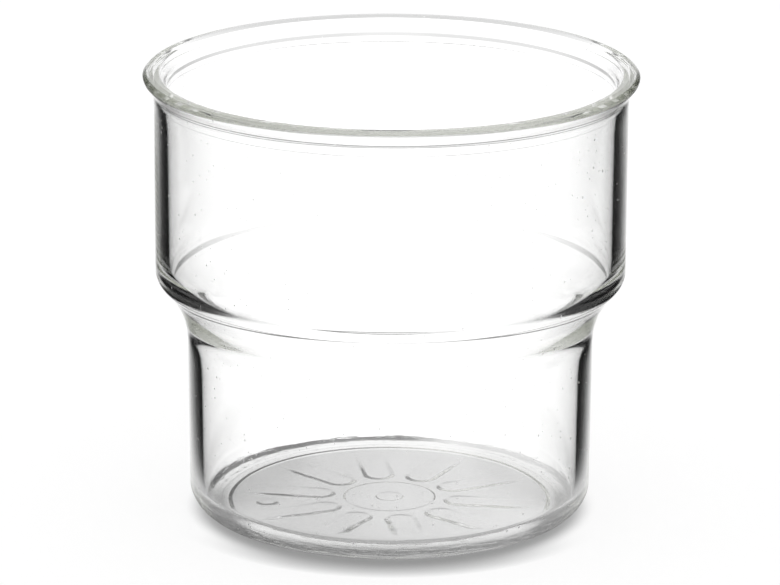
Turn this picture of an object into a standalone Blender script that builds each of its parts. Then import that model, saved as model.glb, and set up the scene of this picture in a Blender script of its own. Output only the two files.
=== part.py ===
"""Clear stacking cup, moulded in one piece.

The cup is a turned shell: a flared rim lip, an upper wall, a stacking shoulder, a narrower lower
wall and a flat base. Inside, the shoulder is a softer ledge. Low ray-shaped ribs and a round mark stand
out of the hollowed underside. Lengths are in metres, +Z is up and the cup stands on z = 0.
"""

import math

import bmesh
import bpy
from mathutils import Vector

MM = 0.001

# Overall sizes and wall
HEIGHT = 75.0 * MM
RIM_DIAMETER = 82.0 * MM
WALL = 2.25 * MM
FLOOR = 1.3 * MM                     # thinner than the wall

# Draft of the two walls, so that the moulding leaves its core
UPPER_DRAFT = math.radians(0.3)
LOWER_DRAFT = math.radians(0.6)

# Stacking shoulder
SHOULDER_HEIGHT = 34.9 * MM
SHOULDER_STEP = 5.25 * MM            # how far the lower wall stands in from the upper wall
SHOULDER_SLOPE = math.radians(44.2)  # away from upright
SHOULDER_EDGE_RADIUS = 2.7 * MM
SHOULDER_COVE_RADIUS = 14.6 * MM
LEDGE_SLOPE = math.radians(29.5)     # of the ledge inside, away from upright
LEDGE_RISE = 1.3 * MM                # top of the ledge above the edge of the shoulder
LEDGE_EDGE_RADIUS = 9.5 * MM
LEDGE_COVE_RADIUS = 7.0 * MM

# Rim lip
LIP_HEIGHT = 3.2 * MM                # from the top down to where the underside meets the wall
LIP_OVERHANG = 1.7 * MM              # how far the lip stands out from the wall
LIP_CROWN = 0.55 * MM                # from the top down to the upright edge
LIP_LAND = 0.5 * MM                  # height of the upright edge
LIP_BEVEL = 0.55 * MM                # how far the crown draws in at the top
LIP_FLAT = 1.1 * MM                  # width of the flat ring on top
LIP_ROUNDING = 0.5 * MM
LIP_CROWN_RADIUS = 0.2 * MM
LIP_UNDER_RADIUS = 1.2 * MM          # lower edge of the lip
LIP_NECK_RADIUS = 2.7 * MM           # where the lip meets the wall
MOUTH_DEPTH = 2.3 * MM               # height of the flare inside the rim
MOUTH_BEVEL = 1.1 * MM               # from the flat ring in to the top of the flare
MOUTH_DROP = 0.3 * MM                # top of the flare below the flat ring
MOUTH_RADIUS = 2.0 * MM

# Base
BASE_RADIUS = 4.7 * MM               # rounding between the lower wall and the table
FOOT_WIDTH = 1.8 * MM                # flat ring that touches the table
FOOT_DEPTH = 0.3 * MM                # how far the underside lies above the table
FLOOR_CORNER_RADIUS = 3.8 * MM       # between the floor and the wall inside
GATE_DISC_DIAMETER = 15.0 * MM
GATE_DISC_DEPTH = 0.15 * MM
GATE_NUB_DIAMETER = 4.2 * MM
GATE_NUB_HEIGHT = 0.12 * MM
STEP_RUN = 0.3 * MM                  # sloped side of the small steps in the underside

# Rays and mould mark in the underside
RAY_COUNT = 10
RAY_TURN = math.radians(27.0)
RAY_WIDTH = 5.4 * MM
RAY_GAP = 1.5 * MM                   # from the gate disc to the inner end of a ray
RAY_MARGIN = 1.0 * MM                # from the outer end of a ray to the foot ring
RAY_HEIGHT = 0.28 * MM               # at the inner end of a ray
MARK_TURN = math.radians(189.0)
MARK_INSET = 6.0 * MM                # from the foot ring to the middle of the mark
MARK_DIAMETER = 3.4 * MM
MARK_HEIGHT = 0.2 * MM

# Faceting
SEGMENTS = 64
ARC_STEP = math.radians(16.0)
RAY_END_STEPS = 8
MARK_SEGMENTS = 12
MERGE_DISTANCE = 0.01 * MM
SHARP_ANGLE = math.radians(35.0)

CUP_COLOUR = (0.93, 0.94, 0.91, 0.25)
CUP_ROUGHNESS = 0.05
CUP_REFRACTION = 1.58

# Radii that follow from the sizes above
NECK_HEIGHT = HEIGHT - LIP_HEIGHT
NECK = RIM_DIAMETER / 2 - LIP_OVERHANG
SHOULDER_RISE = SHOULDER_STEP / math.tan(SHOULDER_SLOPE)
EDGE_HEIGHT = SHOULDER_HEIGHT + SHOULDER_RISE
EDGE = NECK - math.tan(UPPER_DRAFT) * (NECK_HEIGHT - EDGE_HEIGHT)
COVE = EDGE - SHOULDER_STEP
LOWER = COVE - math.tan(LOWER_DRAFT) * SHOULDER_HEIGHT
FOOT_INSIDE = LOWER - BASE_RADIUS - FOOT_WIDTH
RECESS = FOOT_INSIDE - STEP_RUN
GATE_DISC = GATE_DISC_DIAMETER / 2
GATE_NUB = GATE_NUB_DIAMETER / 2
RIB_ROOT = FOOT_DEPTH + FLOOR / 2    # the ribs reach up to here inside the floor


def clear_scene():
    """Remove the objects that the scene starts with."""
    for found in list(bpy.data.objects):
        bpy.data.objects.remove(found, do_unlink=True)


def clear_plastic():
    """The cup's material: colourless, glossy and clear."""
    material = bpy.data.materials.new("clear_plastic")
    material.use_nodes = True
    shader = material.node_tree.nodes["Principled BSDF"]
    shader.inputs["Base Color"].default_value = CUP_COLOUR
    shader.inputs["Roughness"].default_value = CUP_ROUGHNESS
    shader.inputs["Metallic"].default_value = 0.0
    shader.inputs["IOR"].default_value = CUP_REFRACTION
    shader.inputs["Transmission Weight"].default_value = 1.0
    return material


def half_opening(places, index):
    """Half of the angle between the two sides that meet at a corner of an outline."""
    back = places[index - 1] - places[index]
    ahead = places[index + 1] - places[index]
    return back.angle(ahead) / 2


def rounding_reaches(places, roundings):
    """How far each rounding runs along its sides, cut back where two meet on one side."""
    count = len(places)
    reaches = [0.0] * count
    for index in range(1, count - 1):
        reaches[index] = roundings[index] / math.tan(half_opening(places, index))
    shares = [1.0] * count
    for index in range(count - 1):
        wanted = reaches[index] + reaches[index + 1]
        length = (places[index + 1] - places[index]).length
        if wanted > length:
            shares[index] = min(shares[index], length / wanted)
            shares[index + 1] = min(shares[index + 1], length / wanted)
    return [reach * share for reach, share in zip(reaches, shares)]


def corner_arc(places, index, reach):
    """Points of the arc that rounds one corner and touches both sides at the given reach."""
    corner = places[index]
    back = (places[index - 1] - corner).normalized()
    ahead = (places[index + 1] - corner).normalized()
    half_angle = half_opening(places, index)
    centre = corner + (back + ahead).normalized() * (reach / math.cos(half_angle))
    start = corner + back * reach - centre
    sweep = start.angle_signed(corner + ahead * reach - centre)
    steps = max(2, math.ceil(abs(sweep) / ARC_STEP))
    first = math.atan2(start.y, start.x)
    turns = [first - sweep * step / steps for step in range(steps + 1)]
    return [centre + start.length * Vector((math.cos(t), math.sin(t))) for t in turns]


def rounded_outline(corners):
    """Outline through (radius, height, rounding) corners, with each rounding as an arc."""
    places = [Vector(corner[:2]) for corner in corners]
    reaches = rounding_reaches(places, [corner[2] for corner in corners])
    outline = []
    for index, reach in enumerate(reaches):
        if reach > 0:
            outline += corner_arc(places, index, reach)
        else:
            outline.append(places[index])
    return outline


def inner_corners():
    """Inside of the cup from the middle of the floor up to the mouth, with the ledge half way."""
    floor_top = FOOT_DEPTH + FLOOR
    floor_edge = LOWER - WALL + math.tan(LOWER_DRAFT) * floor_top
    ledge_top = EDGE_HEIGHT + LEDGE_RISE
    ledge_foot = ledge_top - SHOULDER_STEP / math.tan(LEDGE_SLOPE)
    mouth_height = HEIGHT - MOUTH_DEPTH
    mouth = NECK - WALL + math.tan(UPPER_DRAFT) * (mouth_height - NECK_HEIGHT)
    return [
        (0.0, floor_top, 0),
        (floor_edge, floor_top, FLOOR_CORNER_RADIUS),
        (COVE - WALL, ledge_foot, LEDGE_COVE_RADIUS),
        (EDGE - WALL, ledge_top, LEDGE_EDGE_RADIUS),
        (mouth, mouth_height, MOUTH_RADIUS),
    ]


def rim_corners():
    """Rim lip from the top of the flare to the upright outer edge."""
    rim = RIM_DIAMETER / 2
    flat_outside = rim - LIP_BEVEL
    flat_inside = flat_outside - LIP_FLAT
    land_top = HEIGHT - LIP_CROWN
    return [
        (flat_inside - MOUTH_BEVEL, HEIGHT - MOUTH_DROP, LIP_ROUNDING),
        (flat_inside, HEIGHT, 0),
        (flat_outside, HEIGHT, LIP_ROUNDING),
        (rim, land_top, LIP_CROWN_RADIUS),
        (rim, land_top - LIP_LAND, LIP_UNDER_RADIUS),
    ]


def outer_corners():
    """Outside of the cup from under the lip down to the table."""
    return [
        (NECK, NECK_HEIGHT, LIP_NECK_RADIUS),
        (EDGE, EDGE_HEIGHT, SHOULDER_EDGE_RADIUS),
        (COVE, SHOULDER_HEIGHT, SHOULDER_COVE_RADIUS),
        (LOWER, 0.0, BASE_RADIUS),
    ]


def underside_corners():
    """Underside from the foot ring in to the gate mark on the axis."""
    disc_level = FOOT_DEPTH + GATE_DISC_DEPTH
    nub_level = disc_level - GATE_NUB_HEIGHT
    return [
        (FOOT_INSIDE, 0.0, 0),
        (RECESS, FOOT_DEPTH, 0),
        (GATE_DISC + STEP_RUN, FOOT_DEPTH, 0),
        (GATE_DISC, disc_level, 0),
        (GATE_NUB + STEP_RUN, disc_level, 0),
        (GATE_NUB, nub_level, 0),
        (0.0, nub_level, 0),
    ]


def turned_mesh(name, outline):
    """Closed mesh of an outline of (radius, height) points turned once round the Z axis."""
    shape = bmesh.new()
    ring = [shape.verts.new((point.x, 0.0, point.y)) for point in outline]
    edges = [shape.edges.new(pair) for pair in zip(ring, ring[1:])]
    bmesh.ops.spin(
        shape,
        geom=ring + edges,
        axis=(0.0, 0.0, 1.0),
        cent=(0.0, 0.0, 0.0),
        angle=2 * math.pi,
        steps=SEGMENTS,
        use_duplicate=False,
    )
    bmesh.ops.remove_doubles(shape, verts=shape.verts, dist=MERGE_DISTANCE)
    bmesh.ops.recalc_face_normals(shape, faces=shape.faces)
    mesh = bpy.data.meshes.new(name)
    shape.to_mesh(mesh)
    shape.free()
    return mesh


def turned_outline(outline, turn):
    """An outline that lies along +X, turned about the cup's axis."""
    along = Vector((math.cos(turn), math.sin(turn)))
    across = Vector((-math.sin(turn), math.cos(turn)))
    return [along * point.x + across * point.y for point in outline]


def add_prism(shape, outline, foot_height):
    """Add a closed prism to a bmesh, from foot_height(point) up into the floor."""
    count = len(outline)
    low = [shape.verts.new((point.x, point.y, foot_height(point))) for point in outline]
    high = [shape.verts.new((point.x, point.y, RIB_ROOT)) for point in outline]
    shape.faces.new(list(reversed(low)))
    shape.faces.new(high)
    for index in range(count):
        following = (index + 1) % count
        shape.faces.new((low[index], low[following], high[following], high[index]))


def ray_outline(start, end):
    """A ray along +X: round at its inner end and square at its outer end."""
    half_width = RAY_WIDTH / 2
    centre = start + half_width
    turns = [math.pi * (0.5 + step / RAY_END_STEPS) for step in range(RAY_END_STEPS + 1)]
    outline = [Vector((centre + half_width * math.cos(t), half_width * math.sin(t))) for t in turns]
    return outline + [Vector((end, -half_width)), Vector((end, half_width))]


def mark_outline():
    """The round mould mark, with its middle on +X."""
    radius = MARK_DIAMETER / 2
    distance = RECESS - MARK_INSET
    turns = [2 * math.pi * step / MARK_SEGMENTS for step in range(MARK_SEGMENTS)]
    return [Vector((distance + radius * math.cos(t), radius * math.sin(t))) for t in turns]


def base_ribs():
    """The rays, highest at their inner ends, and the round mould mark."""
    shape = bmesh.new()
    start = GATE_DISC + STEP_RUN + RAY_GAP
    end = RECESS - RAY_MARGIN
    fall = RAY_HEIGHT / (end - start)
    outline = ray_outline(start, end + RAY_MARGIN / 2)
    for index in range(RAY_COUNT):
        turn = RAY_TURN + 2 * math.pi * index / RAY_COUNT
        along = Vector((math.cos(turn), math.sin(turn)))
        ray = turned_outline(outline, turn)
        add_prism(shape, ray, lambda point: FOOT_DEPTH - fall * (end - point.dot(along)))
    add_prism(shape, turned_outline(mark_outline(), MARK_TURN), lambda point: FOOT_DEPTH - MARK_HEIGHT)
    bmesh.ops.recalc_face_normals(shape, faces=shape.faces)
    mesh = bpy.data.meshes.new("base_ribs")
    shape.to_mesh(mesh)
    shape.free()
    ribs = bpy.data.objects.new("base_ribs", mesh)
    bpy.context.scene.collection.objects.link(ribs)
    ribs.hide_render = True
    ribs.display_type = "WIRE"
    return ribs


def cup_body():
    """The moulded cup, with the rays and the mould mark standing out of its underside."""
    corners = inner_corners() + rim_corners() + outer_corners() + underside_corners()
    mesh = turned_mesh("cup_body", rounded_outline(corners))
    mesh.materials.append(clear_plastic())
    mesh.shade_smooth()
    mesh.set_sharp_from_angle(angle=SHARP_ANGLE)
    cup = bpy.data.objects.new("cup_body", mesh)
    bpy.context.scene.collection.objects.link(cup)
    join = cup.modifiers.new("base_relief", "BOOLEAN")
    join.operation = "UNION"
    join.solver = "EXACT"
    join.object = base_ribs()
    return cup


clear_scene()
cup_body()
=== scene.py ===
# %% [markdown]
# # A clear stacking cup
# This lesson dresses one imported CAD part: a drinking cup moulded in one piece from clear plastic.
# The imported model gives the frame, so everything is in metres, +Z is up and the cup stands on z = 0.
# The cup has no colour of its own. What shows is how its wall bends the light of the room, so the
# lesson spends its effort on a smooth section, on the plastic and on the light.

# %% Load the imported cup
import math

import bpy
import numpy as np
from mathutils import Euler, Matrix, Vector


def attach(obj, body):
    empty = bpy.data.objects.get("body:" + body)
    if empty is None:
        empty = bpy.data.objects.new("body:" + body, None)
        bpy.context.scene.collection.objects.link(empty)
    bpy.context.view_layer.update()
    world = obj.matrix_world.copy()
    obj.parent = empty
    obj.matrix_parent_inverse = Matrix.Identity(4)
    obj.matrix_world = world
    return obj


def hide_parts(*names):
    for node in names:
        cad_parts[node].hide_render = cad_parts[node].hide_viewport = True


MM = 0.001

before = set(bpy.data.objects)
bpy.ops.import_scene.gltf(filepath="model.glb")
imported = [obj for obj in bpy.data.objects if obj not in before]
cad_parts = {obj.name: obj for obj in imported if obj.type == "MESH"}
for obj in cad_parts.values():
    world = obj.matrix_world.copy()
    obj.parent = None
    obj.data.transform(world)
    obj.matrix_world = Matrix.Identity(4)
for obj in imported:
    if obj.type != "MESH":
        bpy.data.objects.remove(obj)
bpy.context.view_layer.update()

# %% [markdown]
# ## The section
# A moulded cup is a solid of revolution, so half a section says nearly everything about it. The CAD
# solid has flat facets, which clear plastic would show as stripes. So the same section is drawn
# again here as corners, each with its rounding, and worked out finely. The list runs from the middle
# of the floor up the inside, over the rim lip, down the outside and under the foot to the axis. Two
# steps of less than a tenth of a millimetre under the lip are the lines where the mould parts.

# %% Corners of the section
RECESS = 26.6   # the underside is hollowed inside this radius, in millimetres

# Each corner is its radius, its height and its rounding, in millimetres.
inner_wall = [
    (0.0, 1.6, 0.0),
    (31.3, 1.6, 3.8),
    (31.63, 32.32, 7.0),
    (36.88, 41.60, 9.5),
    (37.06, 72.7, 2.0),
]
rim_lip = [
    (38.25, 74.7, 0.5),
    (39.35, 75.0, 0.3),
    (40.45, 75.0, 0.4),
    (41.0, 74.45, 0.2),
    (41.0, 73.95, 1.2),
]
outer_wall = [
    (40.05, 72.75, 0.03),
    (39.97, 72.72, 0.03),
    (39.3, 71.8, 2.7),
    (39.29, 70.55, 0.02),
    (39.22, 70.48, 0.02),
    (39.14, 40.3, 2.7),
    (33.89, 34.9, 14.6),
    (33.53, 0.0, 4.7),
]
underside = [
    (27.3, 0.0, 0.2),
    (RECESS, 0.3, 0.2),
    (7.8, 0.3, 0.1),
    (7.5, 0.45, 0.1),
    (2.4, 0.45, 0.1),
    (2.1, 0.33, 0.1),
    (0.0, 0.33, 0.0),
]
corners = np.array(inner_wall + rim_lip + outer_wall + underside) * MM
print("section corners:", len(corners))

# %% [markdown]
# Each corner becomes an arc that touches both of its sides. With half the angle between the sides
# called a, an arc of radius R starts R / tan(a) before the corner and has its centre R / sin(a) from
# it, on the line that halves the angle. All the corners are worked out at once as arrays. The long
# sides are then cut into steps, which are finer under the base, where the relief needs points.

# %% Round the corners and space the points
ARC_POINTS = 11
WALL_STEP = 2.5 * MM
RELIEF_STEP = 0.3 * MM
RELIEF_MARGIN = 1.0 * MM    # the fine steps go on this far past the hollow
UNDERSIDE_TOP = 1.0 * MM    # the hollow underside lies below this height


def unit(vectors):
    """Each row divided by its own length."""
    return vectors / np.linalg.norm(vectors, axis=-1, keepdims=True)


def rounded_section(corners):
    """Points along the section: the first corner, one arc for each inner corner, the last corner."""
    place = corners[1:-1, :2]
    radius = corners[1:-1, 2:3]
    back = unit(corners[:-2, :2] - place)
    ahead = unit(corners[2:, :2] - place)
    half = np.arccos(np.clip((back * ahead).sum(1, keepdims=True), -1, 1)) / 2
    centre = place + unit(back + ahead) * radius / np.sin(half)
    start = place + back * radius / np.tan(half) - centre
    end = place + ahead * radius / np.tan(half) - centre
    first = np.arctan2(start[:, 1], start[:, 0])
    sweep = np.arctan2(end[:, 1], end[:, 0]) - first
    sweep = (sweep + np.pi) % (2 * np.pi) - np.pi
    turn = first[:, None] + sweep[:, None] * np.linspace(0, 1, ARC_POINTS)
    arcs = centre[:, None] + radius[:, None] * np.stack([np.cos(turn), np.sin(turn)], -1)
    return np.concatenate([corners[:1, :2], arcs.reshape(-1, 2), corners[-1:, :2]])


def spaced(points):
    """The same section with each side cut into equal pieces, none longer than the step allowed there."""
    length = np.linalg.norm(np.diff(points, axis=0), axis=1)
    under = (points[:-1, 1] < UNDERSIDE_TOP) & (points[:-1, 0] < RECESS * MM + RELIEF_MARGIN)
    pieces = np.maximum(1, np.ceil(length / np.where(under, RELIEF_STEP, WALL_STEP))).astype(int)
    side = np.repeat(np.arange(len(pieces)), pieces)
    share = (np.arange(len(side)) - np.repeat(np.cumsum(pieces) - pieces, pieces)) / pieces[side]
    filled = points[side] + (points[side + 1] - points[side]) * share[:, None]
    return np.concatenate([filled, points[-1:]])


section = spaced(rounded_section(corners))
print("section points:", len(section))

# %% [markdown]
# ## Relief under the base
# Ten low ribs spread like rays round the gate mark. Each one is highest at its round inner end and
# runs out before the foot ring. Because they repeat, the angle is folded into one tenth of a turn
# and a single rib is drawn there. Its outline is the distance to a short line: where that is under
# half the width, the underside stands out downwards. One round mould mark sits between two ribs.

# %% Height of the relief
RAY_COUNT = 10
RAY_TURN = math.radians(27.0)
RAY_HALF_WIDTH = 2.7 * MM
RAY_START = 9.3 * MM
RAY_END = 25.7 * MM
RAY_HEIGHT = 0.28 * MM      # at the inner end
RAY_EDGE = 0.7 * MM         # width of a rib's sloped side
MARK_TURN = math.radians(189.0)
MARK_DISTANCE = 20.7 * MM
MARK_RADIUS = 1.7 * MM
MARK_EDGE = 0.3 * MM
MARK_HEIGHT = 0.2 * MM


def smooth_step(value):
    """0 below 0, 1 above 1 and a smooth S between: 3 v squared minus 2 v cubed."""
    value = np.clip(value, 0, 1)
    return value * value * (3 - 2 * value)


def base_relief(radius, turn):
    """Height of the ribs and the mark: each rib falls evenly from its inner to its outer end."""
    tenth = 2 * np.pi / RAY_COUNT
    folded = (turn - RAY_TURN + tenth / 2) % tenth - tenth / 2
    along = radius * np.cos(folded)
    across = radius * np.sin(folded)
    nearest = np.clip(along, RAY_START + RAY_HALF_WIDTH, RAY_END)
    edge = (RAY_HALF_WIDTH - np.hypot(along - nearest, across)) / RAY_EDGE
    fall = np.clip((RAY_END - along) / (RAY_END - RAY_START), 0, 1)
    rib = RAY_HEIGHT * fall * smooth_step(edge)
    mark_x = radius * np.cos(turn - MARK_TURN) - MARK_DISTANCE
    mark_y = radius * np.sin(turn - MARK_TURN)
    mark = MARK_HEIGHT * smooth_step((MARK_RADIUS - np.hypot(mark_x, mark_y)) / MARK_EDGE)
    return np.maximum(rib, mark)


print("ribs:", RAY_COUNT, "highest", RAY_HEIGHT / MM, "mm")

# %% [markdown]
# ## The cup's surface
# The grid has one row for each section point and one column for each step round the axis. A point
# sits at (r cos t, r sin t, z), and the ribs are taken off z where the row lies under the base. The
# two ends of the section lie on the axis, so each is one point with a fan of triangles round it,
# and the shell is closed without a seam.

# %% Turn the section into a closed mesh
SEGMENTS = 240
RIB_MARGIN = 0.2 * MM       # the relief ends this far inside the hollow


def turned_surface(section):
    """Points and faces of the section carried once round the axis, closed at both poles."""
    turn = np.arange(SEGMENTS) * 2 * np.pi / SEGMENTS
    radius = section[1:-1, :1]
    height = np.repeat(section[1:-1, 1:], SEGMENTS, axis=1)
    under = (height < UNDERSIDE_TOP) & (radius < RECESS * MM - RIB_MARGIN)
    height = height - np.where(under, base_relief(radius, turn[None]), 0)
    ring = np.stack([radius * np.cos(turn), radius * np.sin(turn), height], -1).reshape(-1, 3)
    poles = np.array([[0, 0, section[0, 1]], [0, 0, section[-1, 1]]])
    rows = len(section) - 2
    row, column = np.meshgrid(np.arange(rows - 1), np.arange(SEGMENTS), indexing="ij")
    following = (column + 1) % SEGMENTS
    this_row = row * SEGMENTS
    quads = np.stack(
        [this_row + column, this_row + SEGMENTS + column,
         this_row + SEGMENTS + following, this_row + following], -1).reshape(-1, 4)
    around = np.arange(SEGMENTS)
    beside = (around + 1) % SEGMENTS
    last = (rows - 1) * SEGMENTS
    floor_fan = np.stack([np.full(SEGMENTS, len(ring)), around, beside], -1)
    base_fan = np.stack([np.full(SEGMENTS, len(ring) + 1), last + beside, last + around], -1)
    return np.concatenate([ring, poles]), quads, np.concatenate([floor_fan, base_fan])


def mesh_from_grid(name, points, quads, triangles):
    """A smooth mesh filled from arrays of points, four-sided faces and three-sided faces."""
    mesh = bpy.data.meshes.new(name)
    mesh.from_pydata(points, [], quads.tolist() + triangles.tolist())
    mesh.shade_smooth()
    mesh.validate()
    return mesh


points, quads, triangles = turned_surface(section)
cup = bpy.data.objects.new("cup", mesh_from_grid("cup", points, quads, triangles))
bpy.context.scene.collection.objects.link(cup)
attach(cup, "root")
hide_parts("cup_body")
print("cup:", len(points), "points,", 2 * len(quads) + len(triangles), "triangles")

# %% [markdown]
# ## Marks of use and of moulding
# Clear plastic looks like plastic, and not like glass, because its surface is a little uneven and
# carries fine scuffs and dust. They show where the wall is dark. Three node groups make them. One
# gives scattered specks and short upright scuffs as a mask, one the slow waves left by the mould, and
# one the level scratches round the foot, where a cup slides on tables. All three read Object
# coordinates, so they stay on the cup.

# %% Helpers for node trees
def add_node(tree, kind, **settings):
    """A new node of the given kind with its settings."""
    node = tree.nodes.new(kind)
    for name, value in settings.items():
        setattr(node, name, value)
    return node


def feed(tree, socket, value):
    """Link an output to a socket, or set the socket to a plain value."""
    if isinstance(value, bpy.types.NodeSocket):
        tree.links.new(value, socket)
    else:
        socket.default_value = value


def calculate(tree, operation, first, second=0.0, third=0.0):
    """The output of a Math node."""
    node = add_node(tree, "ShaderNodeMath", operation=operation)
    for socket, value in zip(node.inputs, (first, second, third)):
        feed(tree, socket, value)
    return node.outputs[0]


def product(tree, *values):
    """All the values multiplied together."""
    result = values[0]
    for value in values[1:]:
        result = calculate(tree, "MULTIPLY", result, value)
    return result


def left_over(tree, share):
    """1 minus a share."""
    return calculate(tree, "SUBTRACT", 1.0, share)


def distance(tree, first, second):
    """Length of the slanted side over two sides: the root of the sum of their squares."""
    squares = calculate(tree, "MULTIPLY_ADD", first, first, product(tree, second, second))
    return calculate(tree, "SQRT", squares)


def ramp(tree, value, low, high):
    """A smooth rise from 0 at low to 1 at high."""
    node = add_node(tree, "ShaderNodeMapRange", interpolation_type="SMOOTHSTEP")
    feed(tree, node.inputs["Value"], value)
    feed(tree, node.inputs["From Min"], low)
    feed(tree, node.inputs["From Max"], high)
    return node.outputs["Result"]


def blend(tree, share, first, second):
    """first where share is 0, second where it is 1."""
    return calculate(tree, "MULTIPLY_ADD", share, calculate(tree, "SUBTRACT", second, first), first)


def stretched_noise(tree, coordinates, upright, scale, detail):
    """Smooth noise read at coordinates whose height is multiplied: under 1 stretches it upright."""
    mapping = add_node(tree, "ShaderNodeMapping")
    feed(tree, mapping.inputs["Vector"], coordinates)
    mapping.inputs["Scale"].default_value = (1.0, 1.0, upright)
    noise = add_node(tree, "ShaderNodeTexNoise")
    feed(tree, noise.inputs["Vector"], mapping.outputs[0])
    feed(tree, noise.inputs["Scale"], scale)
    noise.inputs["Detail"].default_value = detail
    return noise.outputs[0]


def new_group(name, inputs, output):
    """An empty group that takes coordinates and named numbers and gives one number."""
    group = bpy.data.node_groups.new(name, "ShaderNodeTree")
    group.interface.new_socket("Coordinates", in_out="INPUT", socket_type="NodeSocketVector")
    for label in inputs:
        group.interface.new_socket(label, in_out="INPUT", socket_type="NodeSocketFloat")
    group.interface.new_socket(output, in_out="OUTPUT", socket_type="NodeSocketFloat")
    return group, group.nodes.new("NodeGroupInput"), group.nodes.new("NodeGroupOutput")


print("node helpers ready")

# %% Group: specks and scuffs
SPECK_LIMIT = 0.55          # a cell holds a speck where its random value is above this
SCUFF_STRETCH = 0.12
SCUFF_SCALE = 1400.0
SCUFF_DETAIL = 3.0
SCUFF_RANGE = (0.66, 0.8)   # level of the noise at which a scuff starts and is full


def handling_marks():
    """Mask of dust specks, as dots inside scattered cells, and of short upright scuffs."""
    group, given, result = new_group(
        "handling_marks", ["Speck Scale", "Speck Size", "Scuff Amount"], "Marks")
    coordinates = given.outputs["Coordinates"]
    cells = add_node(group, "ShaderNodeTexVoronoi", feature="F1")
    feed(group, cells.inputs["Vector"], coordinates)
    feed(group, cells.inputs["Scale"], given.outputs["Speck Scale"])
    chosen = add_node(group, "ShaderNodeSeparateColor")
    feed(group, chosen.inputs[0], cells.outputs["Color"])
    picked = calculate(group, "GREATER_THAN", chosen.outputs[1], SPECK_LIMIT)
    size = product(group, given.outputs["Speck Size"], chosen.outputs[0], picked)
    dots = calculate(group, "LESS_THAN", cells.outputs["Distance"], size)
    streaks = stretched_noise(group, coordinates, SCUFF_STRETCH, SCUFF_SCALE, SCUFF_DETAIL)
    scuffs = product(group, ramp(group, streaks, *SCUFF_RANGE), given.outputs["Scuff Amount"])
    feed(group, result.inputs["Marks"], calculate(group, "MAXIMUM", dots, scuffs))
    return group


marks_group = handling_marks()
print("group:", marks_group.name)

# %% Group: waves of the moulding
WAVE_STRETCH = 0.35
WAVE_DETAIL = 1.0


def moulding_waves():
    """Slow waves of the surface: smooth noise, stretched upright as the plastic flowed."""
    group, given, result = new_group("moulding_waves", ["Wave Scale"], "Height")
    waves = stretched_noise(
        group, given.outputs["Coordinates"], WAVE_STRETCH, given.outputs["Wave Scale"], WAVE_DETAIL)
    feed(group, result.inputs["Height"], waves)
    return group


waves_group = moulding_waves()
print("group:", waves_group.name)

# %% Group: wear round the foot
SCRATCH_SQUEEZE = 8.0
SCRATCH_DETAIL = 3.0
FOOT_CENTRE = (28.8 * MM, 4.7 * MM)   # middle of the foot's rounding: radius and height
FOOT_SKIN = (3.9 * MM, 4.4 * MM)      # the outside lies farther than this from that middle
FOOT_OUTSIDE = (0.0, 1.0 * MM)        # and outwards of it
FOOT_LOW = (2.5 * MM, 5.0 * MM)       # the wear fades out between these heights


def foot_wear():
    """Level scratches: noise squeezed upright, kept to the outer skin of the foot's rounding."""
    group, given, result = new_group("foot_wear", ["Scratch Scale"], "Height")
    coordinates = given.outputs["Coordinates"]
    place = add_node(group, "ShaderNodeSeparateXYZ")
    feed(group, place.inputs[0], coordinates)
    scratches = stretched_noise(
        group, coordinates, SCRATCH_SQUEEZE, given.outputs["Scratch Scale"], SCRATCH_DETAIL)
    radius = distance(group, place.outputs["X"], place.outputs["Y"])
    aside = calculate(group, "SUBTRACT", radius, FOOT_CENTRE[0])
    below = calculate(group, "SUBTRACT", place.outputs["Z"], FOOT_CENTRE[1])
    skin = ramp(group, distance(group, aside, below), *FOOT_SKIN)
    low = left_over(group, ramp(group, place.outputs["Z"], *FOOT_LOW))
    worn = product(group, skin, ramp(group, aside, *FOOT_OUTSIDE), low)
    feed(group, result.inputs["Height"], product(group, worn, scratches))
    return group


wear_group = foot_wear()
print("group:", wear_group.name)

# %% [markdown]
# ## The plastic
# The plastic is clear, with a refractive index of 1.55, and faintly olive where light runs a long way
# inside it, as in the rim. That tint is an absorption in the volume, so it grows with the length of
# the path and leaves the thin wall colourless. Marks raise the roughness. Waves and scratches tilt the
# surface through two Bump nodes, one after the other.

# %% Clear plastic
REFRACTION = 1.55
TINT = (0.464, 0.494, 0.376, 1.0)
TINT_DENSITY = 5.0
MARKS = {"Speck Scale": 700.0, "Speck Size": 0.16, "Scuff Amount": 0.5}
MARK_ROUGHNESS = 0.45
WAVES = {"Wave Scale": 60.0}
WAVE_DEPTH = 0.05 * MM
SCRATCHES = {"Scratch Scale": 260.0}
SCRATCH_DEPTH = 0.13 * MM


def placed_group(tree, group, settings):
    """The only output of a group that reads Object coordinates, with its numbers set."""
    node = add_node(tree, "ShaderNodeGroup", node_tree=group)
    feed(tree, node.inputs["Coordinates"], add_node(tree, "ShaderNodeTexCoord").outputs["Object"])
    for label, value in settings.items():
        node.inputs[label].default_value = value
    return node.outputs[0]


def bumped(tree, height, depth):
    """A Bump node that turns a height of 1 into the given depth."""
    bump = add_node(tree, "ShaderNodeBump")
    bump.inputs["Strength"].default_value = 1.0
    bump.inputs["Distance"].default_value = depth
    feed(tree, bump.inputs["Height"], height)
    return bump


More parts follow.
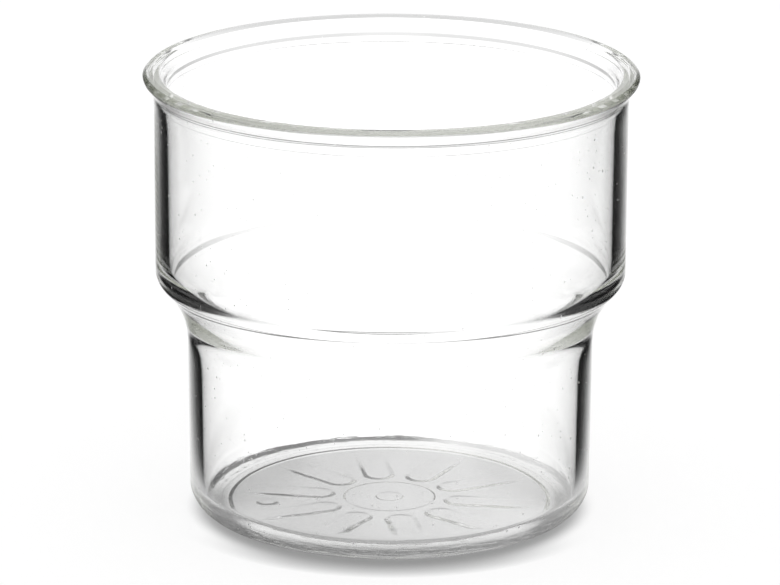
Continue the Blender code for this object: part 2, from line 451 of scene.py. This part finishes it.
def clear_plastic():
    """Principled glass with marks in its roughness, waves in its normal and a tinted volume."""
    material = bpy.data.materials.new("clear_plastic")
    material.use_nodes = True
    tree = material.node_tree
    shader = tree.nodes["Principled BSDF"]
    shader.inputs["Base Color"].default_value = (1.0, 1.0, 1.0, 1.0)
    shader.inputs["IOR"].default_value = REFRACTION
    shader.inputs["Transmission Weight"].default_value = 1.0
    marks = placed_group(tree, marks_group, MARKS)
    feed(tree, shader.inputs["Roughness"], product(tree, marks, MARK_ROUGHNESS))
    waves = bumped(tree, placed_group(tree, waves_group, WAVES), WAVE_DEPTH)
    scratches = bumped(tree, placed_group(tree, wear_group, SCRATCHES), SCRATCH_DEPTH)
    feed(tree, scratches.inputs["Normal"], waves.outputs["Normal"])
    feed(tree, shader.inputs["Normal"], scratches.outputs["Normal"])
    volume = add_node(tree, "ShaderNodeVolumeAbsorption")
    volume.inputs["Color"].default_value = TINT
    volume.inputs["Density"].default_value = TINT_DENSITY
    feed(tree, tree.nodes["Material Output"].inputs["Volume"], volume.outputs[0])
    return material


cup.data.materials.append(clear_plastic())
print("material:", cup.data.materials[0].name)

# %% [markdown]
# ## A bright field
# Clear things are photographed in a bright field: white straight behind, dark to the sides. Rays
# that pass through the wall see the white. Rays that the wall's edge turns aside see the dark, and
# draw the black outline. A studio does this with a lit backdrop, panels and black cards. Here the
# room and the sheet do it by the path of each ray, which the Light Path node counts. The camera sees
# plain white. A ray that has passed the wall sees a backdrop that darkens to the sides and above. A
# ray that was reflected sees a dark room with a white panel on each of four sides and a white ceiling.
# After many reflections the light is well mixed, so such a ray sees an even white. Light caught deep
# in the cup's floor comes from one side only, which makes one edge of each rib dark.

# %% Rule for the light of the room
PANEL_FULL = 8.0        # degrees from the middle of a panel to which it is white
PANEL_END = 24.0        # and from which it is dark
ROOM_DARK = 0.01
THROUGH_WALL = 1.3      # makes up for what the walls reflect away
EVEN_TURNS = 6          # from this many reflections on, light is well mixed
EVEN_LEVEL = 1.0
DEEP = 4                # passes of a surface: the ray has gone in and out of the cup twice
FLOOR_DARK = 0.04       # level of the dark side for light caught in the cup's floor
NEVER_ZERO = 0.000001   # keeps a division safe on the axis


def sine_of(tree, side, reach):
    """Sine of an angle: its opposite side divided by the slanted side."""
    return calculate(tree, "DIVIDE", side, calculate(tree, "MAXIMUM", reach, NEVER_ZERO))


def panels(tree, first, second, half_width=0.0):
    """White near the first axis seen from the cup, dark away from it: the sine of the angle decides."""
    aside = calculate(tree, "SUBTRACT", calculate(tree, "ABSOLUTE", second), half_width)
    sine = sine_of(tree, aside, distance(tree, first, second))
    ends = [math.sin(math.radians(angle)) for angle in (PANEL_FULL, PANEL_END)]
    return calculate(tree, "MAXIMUM", left_over(tree, ramp(tree, sine, *ends)), ROOM_DARK)


def at_least(tree, kind, count):
    """1 where the ray's path holds this many turns of a kind, and 0 where it holds fewer."""
    path = add_node(tree, "ShaderNodeLightPath")
    return calculate(tree, "GREATER_THAN", path.outputs[kind], count - 0.5)


def light_by_path(tree, straight, through, glanced, reflected, caught):
    """One level each for rays that are straight, only passed the wall, or were reflected.

    Reflected rays divide again: off the outside (glanced), inside the wall, and many times.
    """
    passed = at_least(tree, "Transmission Depth", 1)
    even = blend(tree, at_least(tree, "Transmission Depth", DEEP), EVEN_LEVEL, caught)
    turned = blend(tree, at_least(tree, "Glossy Depth", EVEN_TURNS), reflected, even)
    room = blend(tree, passed, glanced, turned)
    unturned = blend(tree, passed, straight, through)
    return blend(tree, at_least(tree, "Glossy Depth", 1), unturned, room)


print("panels are white to", PANEL_FULL, "and dark from", PANEL_END, "degrees off their middles")

# %% The room
# Heights here are those of a direction of length 1, so they are sines of its angle upwards.
SIDE_PANELS = 0.6              # level of the panels at the left and the right
CEILING = (0.3, 0.6)           # heights where the ceiling starts and is full
SIDE_RANGE = (0.05, 0.5)       # sines of the turn aside over which the backdrop darkens
SIDE_END = (0.92, 0.98)        # and over which it is white again, straight to the side
SIDE_LEVEL = 0.3
HORIZON = (0.0, 0.06)          # heights where the sheet meets the backdrop
HORIZON_LEVEL = (0.65, 0.93)   # level there through one wall and through two
SKY = (0.06, 0.2)              # heights over which the backdrop ends
SKY_LEVEL = 0.15
FLOOR_SIDE = (-0.25, 0.2)      # light caught in the cup's floor comes from the left of this


def horizon_level(tree):
    """Level of the horizon straight behind, lighter to rays that have passed two walls."""
    return blend(tree, at_least(tree, "Transmission Depth", DEEP), *HORIZON_LEVEL)


def far_level(tree, sine, middle):
    """Level far from the cup: the middle level straight ahead or beside, dark on the slant."""
    aside = calculate(tree, "ABSOLUTE", sine)
    slant = calculate(tree, "SUBTRACT", ramp(tree, aside, *SIDE_RANGE), ramp(tree, aside, *SIDE_END))
    return blend(tree, slant, middle, SIDE_LEVEL)


def studio_room():
    """World with a white ceiling, a backdrop of limited height, and panels for reflected rays."""
    world = bpy.data.worlds.new("studio_room")
    bpy.context.scene.world = world
    world.use_nodes = True
    tree = world.node_tree
    direction = add_node(tree, "ShaderNodeSeparateXYZ")
    feed(tree, direction.inputs[0], add_node(tree, "ShaderNodeTexCoord").outputs["Generated"])
    aside, ahead, height = direction.outputs
    overhead = ramp(tree, height, *CEILING)
    side_panels = product(tree, panels(tree, aside, ahead), SIDE_PANELS)
    white = calculate(tree, "MAXIMUM", panels(tree, ahead, aside), side_panels)
    reflected = blend(tree, overhead, white, 1.0)
    horizon = far_level(tree, aside, horizon_level(tree))
    backdrop = blend(tree, ramp(tree, height, *HORIZON), horizon, far_level(tree, aside, 1.0))
    backdrop = blend(tree, ramp(tree, height, *SKY), backdrop, SKY_LEVEL)
    through = product(tree, blend(tree, overhead, backdrop, 1.0), THROUGH_WALL)
    caught = blend(tree, ramp(tree, aside, *FLOOR_SIDE), 1.0, FLOOR_DARK)
    background = tree.nodes["Background"]
    feed(tree, background.inputs["Color"], (1.0, 1.0, 1.0, 1.0))
    feed(tree, background.inputs["Strength"],
         light_by_path(tree, 1.0, through, reflected, reflected, caught))
    return world


print("world:", studio_room().name)

# %% [markdown]
# ## The white sheet
# The cup stands on a sheet of white plastic that glows by an emission of its own and is lit a little
# by the room. It could be a plain white surface, but then the shadow under a clear cup would be lost
# in its glow. So the shade near the cup is painted into that glow: Ambient Occlusion measures how much
# of the sheet's view the cup fills, and dims the glow by it. The sheet follows the same rule of paths
# as the room. Its painted levels lie at places on the sheet: a ring of painted shade by the foot,
# painted light and a dark painted ring behind the cup, and the far end of the table.

# %% Sheet: painted shade near the cup
CONTACT_REACH = 6.0 * MM                   # the painted shade reaches this far from the cup
PAINTED_SHADE_LEAN = (0.0, 0.7, 0.7)            # the AO looks towards the back and up, so its painted shadow falls ahead of the cup
CONTACT_LEVEL = (0.25, 0.5)                # level of the full painted shade to bent rays, darker at the left than at the right
CONTACT_RANGE = (-25.0 * MM, 25.0 * MM)    # from left to right
SHADOW_LEVEL = 0.2                         # level of the full painted shadow to the camera
SHADOW_OUTSIDE = (31.0 * MM, 35.0 * MM)    # outside the foot the painted shadow lies only ahead of the cup
SHADOW_AHEAD = (0.4, 0.95)                 # cosines of the turn where it starts and is full
FOOT_NEAR = (27.5 * MM, 29.0 * MM)         # bent rays see a ring of painted shade by the foot, from here
FOOT_FAR = (35.0 * MM, 38.0 * MM)          # to here
FOOT_SHADE = 0.4


def sheet_shade(tree, place, reach):
    """Painted shade that dims the sheet's glow: to rays that the cup has bent, and to the camera."""
    contact = add_node(tree, "ShaderNodeAmbientOcclusion")
    contact.inputs["Distance"].default_value = CONTACT_REACH
    lean = add_node(tree, "ShaderNodeCombineXYZ")
    for socket, value in zip(lean.inputs, PAINTED_SHADE_LEAN):
        feed(tree, socket, value)
    feed(tree, contact.inputs["Normal"], lean.outputs[0])
    lost = left_over(tree, contact.outputs["AO"])
    darkest = blend(tree, ramp(tree, place.outputs["X"], *CONTACT_RANGE), *CONTACT_LEVEL)
    foot = product(tree, ramp(tree, reach, *FOOT_NEAR), left_over(tree, ramp(tree, reach, *FOOT_FAR)))
    bent = product(tree, blend(tree, lost, 1.0, darkest), blend(tree, foot, 1.0, FOOT_SHADE))
    turn = product(tree, sine_of(tree, place.outputs["Y"], reach), -1.0)
    ahead = ramp(tree, turn, *SHADOW_AHEAD)
    share = blend(tree, ramp(tree, reach, *SHADOW_OUTSIDE), 1.0, ahead)
    return bent, blend(tree, product(tree, share, lost), 1.0, SHADOW_LEVEL)


print("shade reaches", CONTACT_REACH / MM, "mm from the cup")

# %% Sheet: what shows through the wall
TABLE_END = (0.45, 0.8)             # distances over which the sheet becomes the far background
ABOVE = (0.5, 0.68)                 # sines of the angle over which the sheet dims when seen steeply
ABOVE_LEVEL = 0.5
BEHIND = (-6.0 * MM, 10.0 * MM)     # the sheet behind the cup is painted lighter from here on
FOOT_LIT = (26.8 * MM, 27.6 * MM)   # and outside this radius
FOOT_LEVEL = 0.85
EDGE_START = (32.0 * MM, 33.0 * MM)   # a ring of painted shade behind the foot draws the far edge of the floor
EDGE_END = (35.0 * MM, 36.0 * MM)
EDGE_SIDE = (2.0 * MM, 12.0 * MM)     # the painted ring is lighter to the right of this
EDGE_LEVEL = (0.15, 0.65)


def sheet_through(tree, place, reach, sine, bent):
    """Level to rays that only passed the wall: painted shade ahead, painted light and a dark painted
    ring behind, dimmer when steep.
    """
    aside = sine_of(tree, place.outputs["X"], reach)
    far = far_level(tree, aside, horizon_level(tree))
    table = blend(tree, ramp(tree, reach, *TABLE_END), 1.0, far)
    from_above = blend(tree, ramp(tree, sine, *ABOVE), THROUGH_WALL, THROUGH_WALL * ABOVE_LEVEL)
    edge = blend(tree, ramp(tree, place.outputs["X"], *EDGE_SIDE), *EDGE_LEVEL)
    ring = blend(tree, ramp(tree, reach, *EDGE_START), FOOT_LEVEL, edge)
    ring = blend(tree, ramp(tree, reach, *EDGE_END), ring, 1.0)
    behind = product(tree, ramp(tree, place.outputs["Y"], *BEHIND), ramp(tree, reach, *FOOT_LIT))
    return product(tree, from_above, table, blend(tree, behind, bent, ring))


print("far edge ring:", EDGE_START[1] / MM, "to", EDGE_END[0] / MM, "mm")

# %% Sheet: what shows by reflection
STRIP = 30.0 * MM                       # half the width of the strip that reflected rays see white
STEEP = (0.54, 0.76)                    # sines of the angle over which the whole sheet becomes white
STEEP_LEVEL = 0.9
STEEP_OUTSIDE = (28.5 * MM, 32.0 * MM)  # outside this radius its shade doesn't count for them
OUTSIDE_LEVEL = 0.95


def sheet_reflected(tree, place, reach, sine, bent):
    """Levels to rays reflected off the outside, and to rays reflected inside the wall."""
    glanced = product(tree, panels(tree, place.outputs["Y"], place.outputs["X"], STRIP), bent)
    outside = blend(tree, ramp(tree, reach, *STEEP_OUTSIDE), bent, OUTSIDE_LEVEL)
    steep = product(tree, outside, ramp(tree, sine, *STEEP), STEEP_LEVEL)
    return glanced, calculate(tree, "MAXIMUM", glanced, steep)


print("white strip:", 2 * STRIP / MM, "mm wide")

# %% Sheet: put it together
SHEET_HALF = 20.0
SHEET_GAP = 0.2 * MM   # keeps the sheet clear of the foot ring
SHEET_WHITE = 0.2      # share of its white that the room's light gives, and that a shadow takes
SHEET_GLOW = 0.82      # share that it gives off by itself as emission, which the painted levels dim


def sheet_level(tree):
    """Level of the sheet for every kind of ray, by its place and by the angle of the ray to it."""
    place = add_node(tree, "ShaderNodeSeparateXYZ")
    feed(tree, place.inputs[0], add_node(tree, "ShaderNodeTexCoord").outputs["Object"])
    reach = distance(tree, place.outputs["X"], place.outputs["Y"])
    sine = left_over(tree, add_node(tree, "ShaderNodeLayerWeight").outputs["Facing"])
    bent, shadow = sheet_shade(tree, place, reach)
    through = sheet_through(tree, place, reach, sine, bent)
    glanced, reflected = sheet_reflected(tree, place, reach, sine, bent)
    return light_by_path(tree, shadow, through, glanced, reflected, FLOOR_DARK)


def sheet_material():
    """White that is part reflected light and part its own glow, both times the level."""
    material = bpy.data.materials.new("white_sheet")
    material.use_nodes = True
    tree = material.node_tree
    tree.nodes.remove(tree.nodes["Principled BSDF"])
    level = sheet_level(tree)
    grey = add_node(tree, "ShaderNodeCombineColor")
    for socket in grey.inputs:
        feed(tree, socket, product(tree, level, SHEET_WHITE))
    matte = add_node(tree, "ShaderNodeBsdfDiffuse")
    feed(tree, matte.inputs["Color"], grey.outputs[0])
    glow = add_node(tree, "ShaderNodeEmission")
    feed(tree, glow.inputs["Strength"], product(tree, level, SHEET_GLOW))
    both = add_node(tree, "ShaderNodeAddShader")
    feed(tree, both.inputs[0], matte.outputs[0])
    feed(tree, both.inputs[1], glow.outputs[0])
    feed(tree, tree.nodes["Material Output"].inputs["Surface"], both.outputs[0])
    return material


def white_sheet():
    """One flat square under the cup."""
    half = SHEET_HALF
    level = -SHEET_GAP
    mesh = bpy.data.meshes.new("white_sheet")
    edge = [(-half, -half, level), (half, -half, level), (half, half, level), (-half, half, level)]
    mesh.from_pydata(edge, [], [(0, 1, 2, 3)])
    mesh.materials.append(sheet_material())
    sheet = bpy.data.objects.new("white_sheet", mesh)
    bpy.context.scene.collection.objects.link(sheet)
    return sheet


print("stage:", white_sheet().name)

# %% [markdown]
# ## Many bounces
# Light that enters the rim or the shoulder runs along inside the wall and is turned back many times
# before it comes out. With Blender's usual twelve bounces it would be cut off and leave black, so
# the limits are raised.

# %% Bounce limits and colour view
BOUNCES = 96
scene = bpy.context.scene
scene.cycles.max_bounces = BOUNCES
scene.cycles.transmission_bounces = BOUNCES
scene.cycles.glossy_bounces = BOUNCES
scene.view_settings.view_transform = "Standard"
print("bounces:", BOUNCES)

# %% [markdown]
# ## The camera
# The photograph was taken from a little above with a long lens: the two rim edges and the base give
# an angle of about 16 degrees and a distance of about 0.9 m. The camera looks at a point on the axis
# half way up, and turns a touch about its own line of sight.

# %% Set the camera
CAMERA_TILT = math.radians(16.254)
CAMERA_ROLL = math.radians(0.27)
CAMERA_DISTANCE = 897.11 * MM
LOOK_AT = Vector((-0.07 * MM, 0.0, 36.79 * MM))
SENSOR_WIDTH = 36.0
FOCAL_PIXELS = 5379.3
IMAGE_WIDTH = 780
VIEW_END = 100.0


def place_camera():
    """Camera on a line that falls at the tilt angle towards the point on the axis."""
    forward = Vector((0.0, math.cos(CAMERA_TILT), -math.sin(CAMERA_TILT)))
    camera = bpy.data.cameras.new("camera")
    camera.sensor_width = SENSOR_WIDTH
    camera.lens = SENSOR_WIDTH * FOCAL_PIXELS / IMAGE_WIDTH
    camera.clip_end = VIEW_END
    holder = bpy.data.objects.new("camera", camera)
    bpy.context.scene.collection.objects.link(holder)
    holder.location = LOOK_AT - CAMERA_DISTANCE * forward
    holder.rotation_euler = Euler((math.pi / 2 - CAMERA_TILT, 0.0, 0.0))
    holder.rotation_euler.rotate_axis("Z", CAMERA_ROLL)
    bpy.context.scene.camera = holder
    return holder


print("lens:", round(place_camera().data.lens, 1), "mm")
